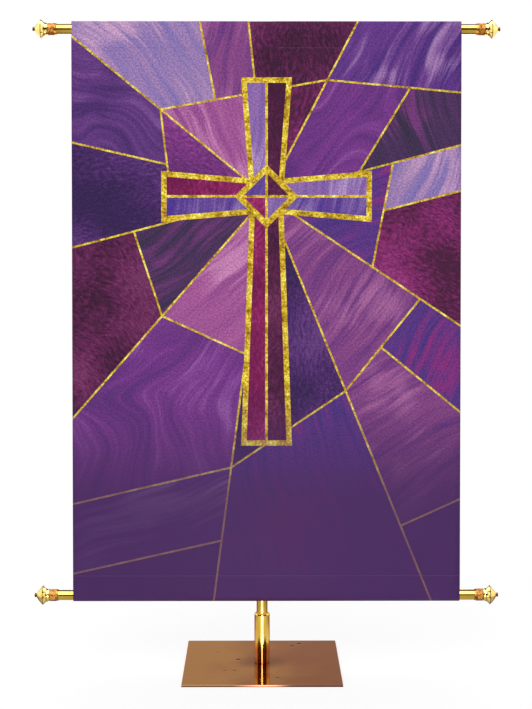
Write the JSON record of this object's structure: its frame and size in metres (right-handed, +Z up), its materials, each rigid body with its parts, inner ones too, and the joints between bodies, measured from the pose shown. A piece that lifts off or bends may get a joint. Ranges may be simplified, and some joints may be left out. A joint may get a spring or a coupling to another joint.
{
  "type": "church banner on a stand",
  "caption": "Printed cloth banner with rod pockets at top and bottom, on brass rods with turned finials, hung in front of a brass pole that stands in a socket on a square base plate.",
  "frame": {"origin": "on the floor, under the middle of the banner's width, at the depth of the pole's axis", "axes": "+Z up, +X to the viewer's right along the rods, and the banner's printed face looks along -Y"},
  "size_m": [0.7334, 0.246, 1.0234],
  "materials": {
    "printed_cloth": "woven polyester, printed in purples with gold lines",
    "brass_tube": "polished",
    "finial_brass": "turned and polished",
    "ferrule_brass": "ribbed, orange gold",
    "base_metal": "polished, bronze toned"
  },
  "bodies": {
    "stand_base": {"base_plate": "base_metal", "socket_tube": "brass_tube"},
    "banner": {"pole": "brass_tube", "cradle": "brass_tube", "top_rod": "brass_tube", "bottom_rod": "brass_tube", "ferrule_top_left": "ferrule_brass", "ferrule_top_right": "ferrule_brass", "ferrule_bottom_left": "ferrule_brass", "ferrule_bottom_right": "ferrule_brass", "finial_top_left": "finial_brass", "finial_top_right": "finial_brass", "finial_bottom_left": "finial_brass", "finial_bottom_right": "finial_brass", "banner_cloth": "printed_cloth"}
  },
  "joints": [
    {"name": "pole_swivel", "type": "hinge", "parent": "stand_base", "child": "banner", "pos_m": [-0.007, 0, 0.0035], "axis": [0, 0, 1], "continuous": true}
  ]
}
